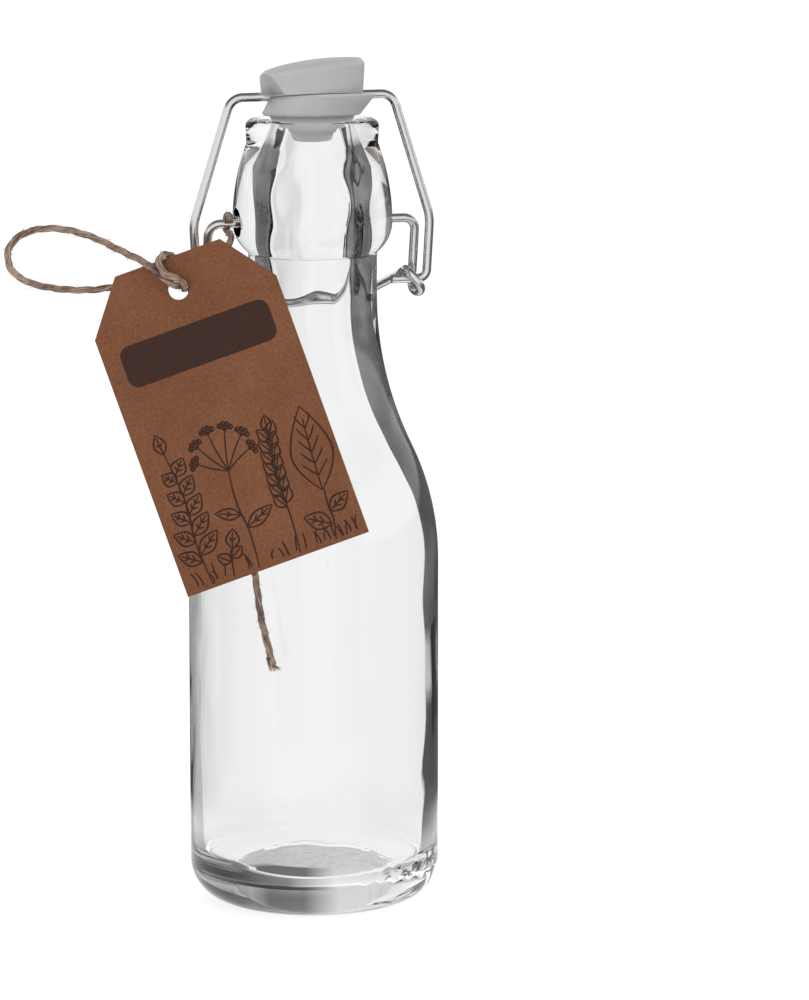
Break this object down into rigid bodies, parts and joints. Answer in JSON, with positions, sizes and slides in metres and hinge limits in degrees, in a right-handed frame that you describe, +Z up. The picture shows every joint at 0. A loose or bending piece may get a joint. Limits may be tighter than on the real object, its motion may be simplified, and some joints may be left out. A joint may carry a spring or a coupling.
{
  "type": "swing top bottle",
  "caption": "Clear glass swing top bottle with a wire bail closure, a plastic stopper and a card tag on jute twine, for storing liquids.",
  "frame": {"origin": "middle of the base, on the surface that the bottle stands on", "axes": "+Z up the bottle, +X along the pivots of the closure, and the handle of the lever lies towards +Y"},
  "size_m": [0.1101, 0.0683, 0.2105],
  "materials": {
    "clear_glass": "clear blown glass",
    "steel_wire": "bright plated steel wire",
    "stopper_plastic": "grey-white moulded plastic",
    "gasket_plastic": "soft translucent sealing ring",
    "kraft_card": "brown kraft card",
    "jute": "two-ply jute twine"
  },
  "bodies": {
    "bottle": {"bottle": "clear_glass", "twine_hitch": "jute", "twine_lead": "jute"},
    "lever": {"lever_wire": "steel_wire"},
    "bail": {"bail_wire": "steel_wire"},
    "stopper": {"stopper_cap": "stopper_plastic", "stopper_gasket": "gasket_plastic"},
    "tag": {"tag_card": "kraft_card", "twine_knot": "jute", "twine_loop": "jute", "twine_wrap": "jute", "twine_tail": "jute"}
  },
  "joints": [
    {"name": "lever_swing", "type": "hinge", "parent": "bottle", "child": "lever", "pos_m": [0, 0, 0.1705], "axis": [1, 0, 0], "range_deg": [0, 180]},
    {"name": "bail_swing", "type": "hinge", "parent": "lever", "child": "bail", "pos_m": [0, 0, 0.1553], "axis": [1, 0, 0], "range_deg": [-125, 1]},
    {"name": "stopper_tilt", "type": "hinge", "parent": "bail", "child": "stopper", "pos_m": [0, 0, 0.2014], "axis": [1, 0, 0], "range_deg": [-60, 1]},
    {"name": "tag_swing", "type": "hinge", "parent": "bottle", "child": "tag", "pos_m": [-0.03888, -0.01694, 0.1581], "axis": [-0.2735, -0.9537, 0.1256], "range_deg": [-40, 12]}
  ],
  "couplings": [
    {"joint": "bail_swing", "follows": "lever_swing", "ratio": -0.67028},
    {"joint": "stopper_tilt", "follows": "lever_swing", "ratio": -0.32972}
  ]
}
